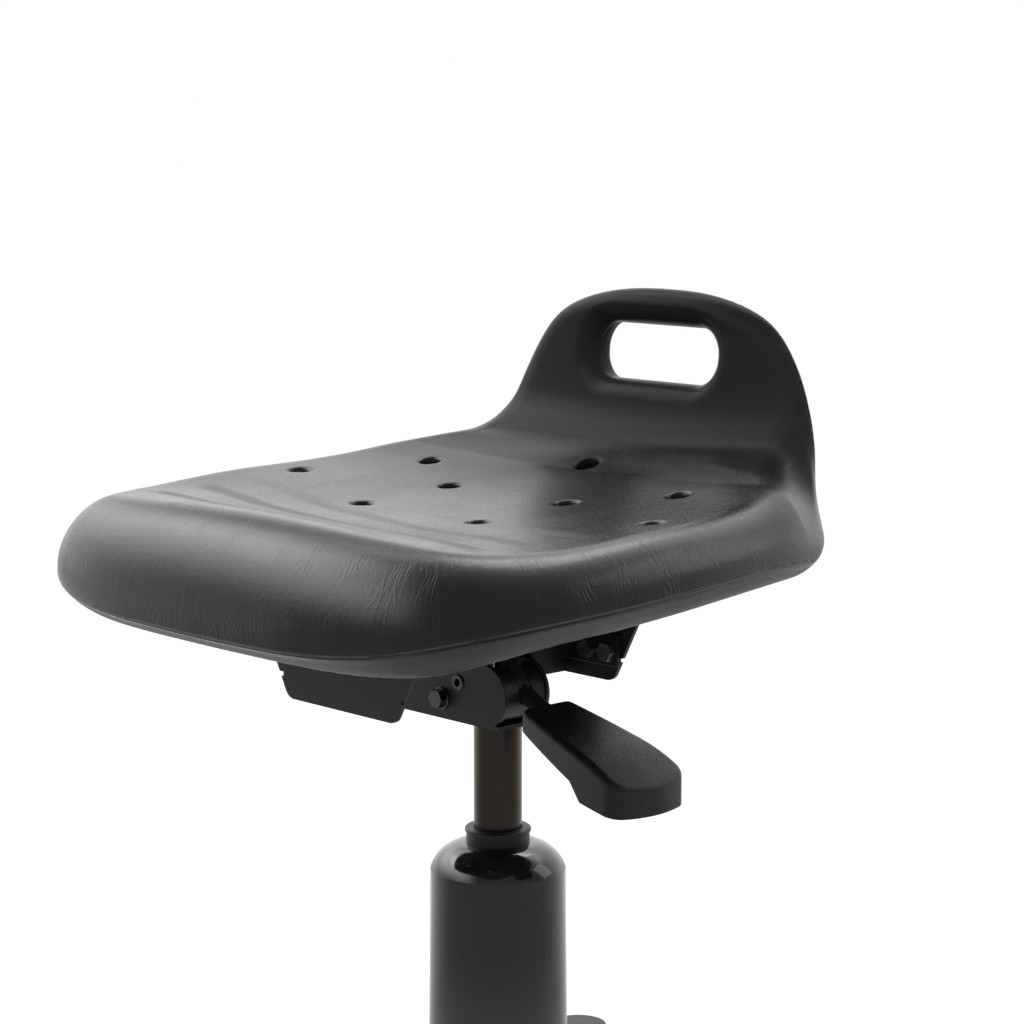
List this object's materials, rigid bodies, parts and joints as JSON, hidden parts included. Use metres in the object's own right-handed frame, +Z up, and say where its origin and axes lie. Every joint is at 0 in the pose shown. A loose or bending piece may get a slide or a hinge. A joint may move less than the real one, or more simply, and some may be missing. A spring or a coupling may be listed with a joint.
{
  "type": "swivel stool",
  "caption": "Height-adjustable swivel stool with a moulded black seat, a low hand-hold back, a gas lift with a paddle lever and a castor base",
  "frame": {"origin": "on the floor, on the axis of the column", "axes": "+Z up, the sitter faces -Y, the lever is on +X"},
  "size_m": [0.64, 0.6087, 0.6104],
  "materials": {
    "seat_skin": "moulded polyurethane skin with fine leather grain, satin black",
    "plywood": "bare birch plywood",
    "zinc_steel": "zinc-plated steel",
    "black_steel": "black powder coat",
    "dark_bolt": "dark phosphated steel",
    "black_plastic": "fine textured black plastic",
    "tube_lacquer": "dark grey lacquered tube, semi-gloss",
    "bright_alloy": "machined alloy",
    "chromed_rod": "hard-chromed rod",
    "seal_rubber": "black rubber",
    "base_nylon": "glass-filled black nylon",
    "bush_plastic": "natural acetal",
    "gloss_cover": "polished black plastic",
    "castor_plastic": "black nylon",
    "wheel_tread": "black nylon wheel"
  },
  "bodies": {
    "base": {"star_base": "base_nylon", "castor_stems": "zinc_steel", "column_tube": "black_steel", "guide_bush": "bush_plastic", "column_cover": "gloss_cover", "wiper_collar": "black_plastic", "bearing_washer_lower": "zinc_steel", "clip_washer": "zinc_steel"},
    "rod": {"piston_rod": "chromed_rod", "piston": "bright_alloy", "piston_seal": "seal_rubber", "bearing_washer_upper": "zinc_steel", "bearing_balls": "zinc_steel", "bump_ring": "seal_rubber", "retaining_clip": "zinc_steel"},
    "seat": {"seat_foam": "seat_skin", "seat_board": "plywood", "t_nuts": "zinc_steel", "seat_bolts": "zinc_steel", "bolt_washers": "zinc_steel", "seat_plate": "black_steel", "rear_rail": "black_steel", "rail_bolts": "zinc_steel", "rail_nuts": "zinc_steel", "mechanism_channel": "black_steel", "socket_bridge": "black_steel", "cross_bolt": "dark_bolt", "cross_nut": "dark_bolt", "cross_washers": "dark_bolt", "spacer_sleeve": "zinc_steel", "wall_rivet": "dark_bolt", "end_cap": "black_plastic", "lever_pivot_pin": "zinc_steel", "pressure_tube": "tube_lacquer", "valve_body": "bright_alloy", "rod_guide": "bright_alloy"},
    "lever": {"lever_arm": "black_steel", "lever_paddle": "black_plastic"},
    "release": {"release_pin": "chromed_rod"},
    "castor_1": {"castor_body_1": "castor_plastic"},
    "wheelset_1": {"castor_axle_1": "zinc_steel", "castor_wheels_1": "wheel_tread"},
    "castor_2": {"castor_body_2": "castor_plastic"},
    "wheelset_2": {"castor_axle_2": "zinc_steel", "castor_wheels_2": "wheel_tread"},
    "castor_3": {"castor_body_3": "castor_plastic"},
    "wheelset_3": {"castor_axle_3": "zinc_steel", "castor_wheels_3": "wheel_tread"},
    "castor_4": {"castor_body_4": "castor_plastic"},
    "wheelset_4": {"castor_axle_4": "zinc_steel", "castor_wheels_4": "wheel_tread"},
    "castor_5": {"castor_body_5": "castor_plastic"},
    "wheelset_5": {"castor_axle_5": "zinc_steel", "castor_wheels_5": "wheel_tread"}
  },
  "joints": [
    {"name": "seat_swivel", "type": "hinge", "parent": "base", "child": "rod", "pos_m": [0, 0, 0.077], "axis": [0, 0, 1], "continuous": true},
    {"name": "seat_height", "type": "slide", "parent": "rod", "child": "seat", "axis": [0, 0, 1], "range_m": [-0.05, 0.07]},
    {"name": "lever_lift", "type": "hinge", "parent": "seat", "child": "lever", "pos_m": [0.0172, 0, 0.39], "axis": [0, -1, 0], "range_deg": [0, 10], "stiffness_Nm_per_rad": 0.6},
    {"name": "release_press", "type": "slide", "parent": "seat", "child": "release", "axis": [0, 0, -1], "range_m": [0, 0.0034], "stiffness_N_per_m": 60},
    {"name": "castor_swivel_1", "type": "hinge", "parent": "base", "child": "castor_1", "pos_m": [0, -0.285, 0.058], "axis": [0, 0, 1], "continuous": true},
    {"name": "wheel_spin_1", "type": "hinge", "parent": "castor_1", "child": "wheelset_1", "pos_m": [0, -0.301, 0.025], "axis": [1, 0, 0], "continuous": true},
    {"name": "castor_swivel_2", "type": "hinge", "parent": "base", "child": "castor_2", "pos_m": [0.27105, -0.08807, 0.058], "axis": [0, 0, 1], "continuous": true},
    {"name": "wheel_spin_2", "type": "hinge", "parent": "castor_2", "child": "wheelset_2", "pos_m": [0.28627, -0.09301, 0.025], "axis": [0.309, 0.9511, 0], "continuous": true},
    {"name": "castor_swivel_3", "type": "hinge", "parent": "base", "child": "castor_3", "pos_m": [0.16752, 0.23057, 0.058], "axis": [0, 0, 1], "continuous": true},
    {"name": "wheel_spin_3", "type": "hinge", "parent": "castor_3", "child": "wheelset_3", "pos_m": [0.17692, 0.24351, 0.025], "axis": [-0.809, 0.5878, 0], "continuous": true},
    {"name": "castor_swivel_4", "type": "hinge", "parent": "base", "child": "castor_4", "pos_m": [-0.16752, 0.23057, 0.058], "axis": [0, 0, 1], "continuous": true},
    {"name": "wheel_spin_4", "type": "hinge", "parent": "castor_4", "child": "wheelset_4", "pos_m": [-0.17692, 0.24351, 0.025], "axis": [-0.809, -0.5878, 0], "continuous": true},
    {"name": "castor_swivel_5", "type": "hinge", "parent": "base", "child": "castor_5", "pos_m": [-0.27105, -0.08807, 0.058], "axis": [0, 0, 1], "continuous": true},
    {"name": "wheel_spin_5", "type": "hinge", "parent": "castor_5", "child": "wheelset_5", "pos_m": [-0.28627, -0.09301, 0.025], "axis": [0.309, -0.9511, 0], "continuous": true}
  ],
  "couplings": [
    {"joint": "release_press", "follows": "lever_lift", "m_per_rad": 0.01948}
  ]
}
